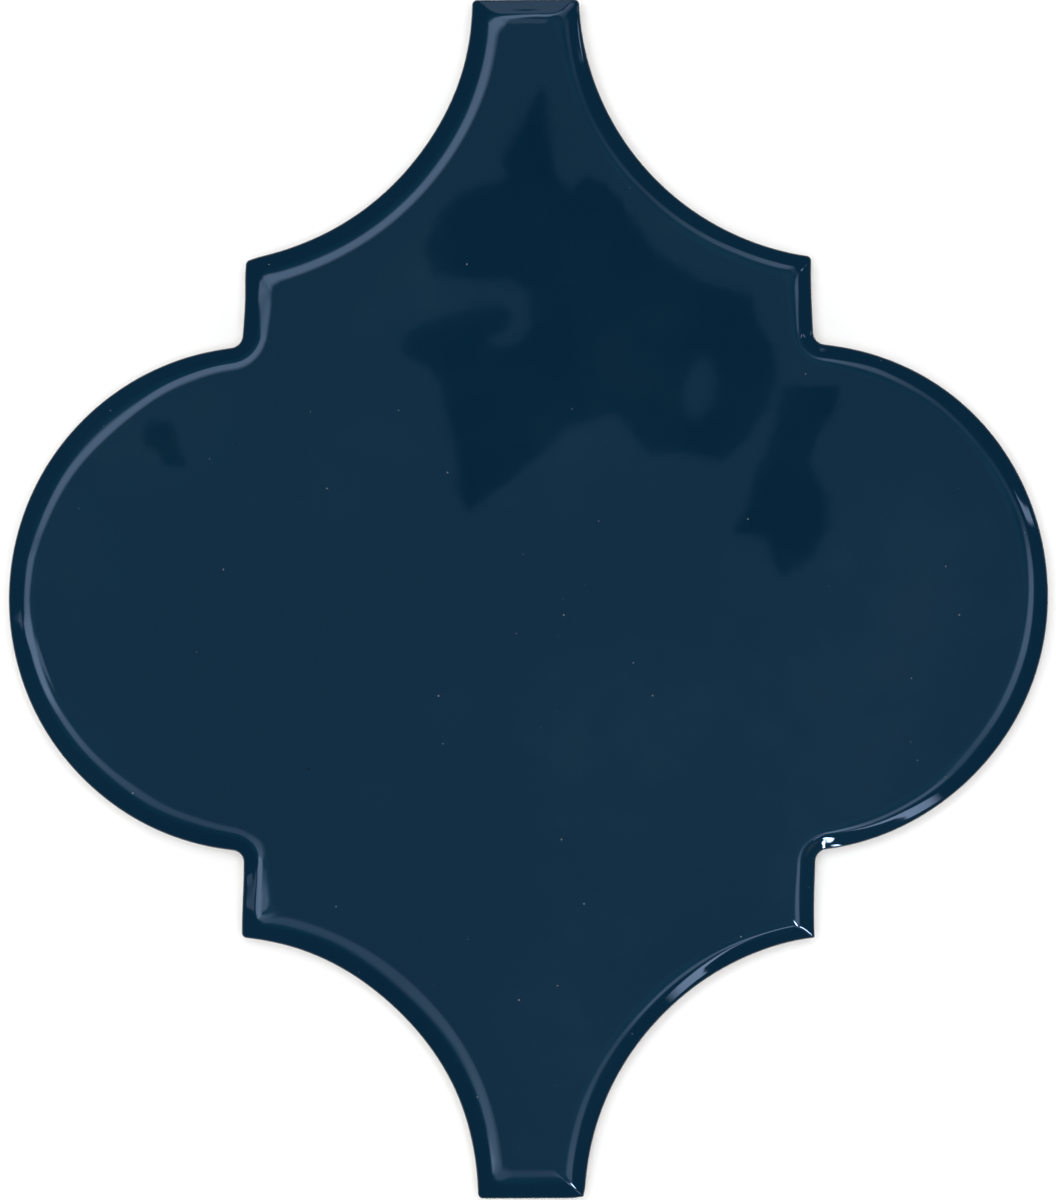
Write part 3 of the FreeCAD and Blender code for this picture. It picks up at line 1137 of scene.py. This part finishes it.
dark_felt, net, output = new_material("dark_felt")
surface = add_node(net, "ShaderNodeEmission", Color=(0.0, 0.0, 0.0, 1), Strength=0.0)
net.links.new(surface.outputs[0], output.inputs["Surface"])
hang_card("large_card", (
    (2.2, 64.3), (3.3, 58.0), (3.7, 53.4), (5.7, 50.8), (7.6, 52.9), (11.1, 50.9), (13.4, 46.7),
    (16.6, 42.8), (21.3, 40.0), (26.0, 38.5), (28.3, 37.8), (29.1, 34.7), (31.1, 31.5), (31.5, 28.4),
    (30.3, 24.4), (27.6, 19.8), (24.5, 17.4), (22.1, 17.8), (19.0, 18.5), (15.1, 18.1), (13.4, 19.8),
    (11.1, 23.3), (7.9, 22.1), (4.8, 21.6), (1.7, 18.1), (-3.7, 14.3), (-7.9, 11.5), (-8.9, 13.5),
    (-9.2, 17.4), (-10.3, 22.1), (-11.2, 26.8), (-12.6, 29.1), (-15.7, 31.0), (-15.3, 33.4), (-10.8, 35.3),
    (-6.8, 36.5), (-2.9, 36.9), (-2.1, 35.8), (-2.9, 33.9), (-5.3, 32.7), (-3.7, 31.8), (-1.2, 32.3),
    (0.4, 34.7), (0.4, 38.5), (-2.2, 39.8), (-6.8, 39.8), (-11.6, 40.4), (-12.6, 43.7), (-10.6, 48.2),
    (-8.4, 50.3), (-2.2, 52.2), (-2.8, 54.9), (-0.1, 59.7),
), CARD_HEIGHT, dark_felt)
hang_card("right_card", (
    (32.2, 27.0), (39.1, 27.0), (38.6, 23.6), (36.1, 19.8), (35.7, 16.6), (37.8, 12.8), (37.5, 8.8),
    (35.7, 4.6), (31.8, 2.1), (30.6, 4.1), (29.7, 7.4), (25.7, 7.9), (27.5, 11.1), (29.0, 15.9),
    (31.0, 20.5), (31.6, 23.6),
), CARD_HEIGHT, dark_felt)
hang_card("small_card", (
    (-47.8, 20.6), (-47.2, 22.2), (-44.3, 22.4), (-43.5, 20.9), (-42.9, 18.9), (-42.3, 16.9), (-44.9, 16.8),
    (-45.9, 18.6), (-47.7, 19.2),
), SMALL_CARD_HEIGHT, dark_felt)
ceiling_patch = glow_material("ceiling_patch", CEILING_TINT)
hang_lamp("hole_in_the_card", (0.0288, 0.0356, 0.34), 0.0066, 0.0135, 80, 0.36, ceiling_patch)
print("cards hang", CARD_HEIGHT, "m above the floor, out of the camera's sight")

# %% [markdown]
# ## The room
#
# The rest of the room is only a soft gradient. Straight up there is a bluish ceiling, which lays a thin
# veil over the face. Further down the walls are dim, and near the horizon they are pale, so the tile still
# has something to mirror when it is seen from the side. The camera itself sees the floor's own pale tone
# beyond the edge of the floor.

# %% Set up the room
world = bpy.data.worlds.new("studio_room")
bpy.context.scene.world = world
world.use_nodes = True
net = world.node_tree
net.nodes.clear()
direction = add_node(net, "ShaderNodeTexCoord").outputs["Generated"]
upness = add_node(net, "ShaderNodeSeparateXYZ", Vector=direction).outputs[2]
gradient = net.nodes.new("ShaderNodeValToRGB")
net.links.new(upness, gradient.inputs["Fac"])
room = (
    (0.00, (0.55, 0.56, 0.58, 1)), (0.18, (0.40, 0.43, 0.48, 1)), (0.40, (0.03, 0.08, 0.14, 1)),
    (0.85, (0.02, 0.07, 0.13, 1)), (0.96, (0.12, 0.245, 0.40, 1)), (1.00, (0.12, 0.25, 0.41, 1)),
)
while len(gradient.color_ramp.elements) < len(room):
    gradient.color_ramp.elements.new(0.5)
for element, (position, colour) in zip(gradient.color_ramp.elements, room):
    element.position = position
    element.color = colour
rays = add_node(net, "ShaderNodeLightPath")
sideways = add_node(net, "ShaderNodeSeparateXYZ", Vector=direction)
lean = maths(net, "SUBTRACT", sideways.outputs[0], sideways.outputs[1])
drift = spread(net, lean, -0.09, 0.09)
ceiling_tint = blend_colour(net, drift, (0.97, 1.0, 0.94, 1), (1.03, 1.02, 1.07, 1))
ceiling = blend_colour(net, 1.0, gradient.outputs["Color"], ceiling_tint, "MULTIPLY")
mirrored = add_node(net, "ShaderNodeBackground", Color=ceiling, Strength=1.0)
filling = add_node(net, "ShaderNodeBackground", Color=(1.0, 1.0, 1.0, 1), Strength=0.42)
beyond = add_node(net, "ShaderNodeBackground", Color=(0.97, 0.97, 0.97, 1), Strength=1.0)
room_light = add_node(
    net, "ShaderNodeMixShader",
    i0=rays.outputs["Is Glossy Ray"], i1=filling.outputs[0], i2=mirrored.outputs[0],
)
seen = add_node(
    net, "ShaderNodeMixShader",
    i0=rays.outputs["Is Camera Ray"], i1=room_light.outputs[0], i2=beyond.outputs[0],
)
output = net.nodes.new("ShaderNodeOutputWorld")
net.links.new(seen.outputs[0], output.inputs["Surface"])
print("room ready")

# %% [markdown]
# ## The camera
#
# The picture was taken from straight above with a long lens, which keeps the outline true. The tile lay
# turned by less than a third of a degree, so the camera is turned instead, and the part stays square in
# its frame.

# %% Set the camera
PICTURE_TURN = math.radians(0.29)
PICTURE_SHIFT = (mm(-0.06), mm(-0.12))
bpy.ops.object.camera_add(location=(*PICTURE_SHIFT, CAMERA_HEIGHT), rotation=(0, 0, -PICTURE_TURN))
camera = bpy.context.active_object
camera.name = "camera_above"
camera.data.lens = CAMERA_LENS
camera.data.sensor_fit = "VERTICAL"
camera.data.sensor_height = SENSOR
camera.data.clip_end = 30
scene = bpy.context.scene
scene.camera = camera
scene.view_settings.view_transform = "Standard"
scene.view_settings.look = "None"
print(f"camera {CAMERA_HEIGHT:.3f} m above the floor")
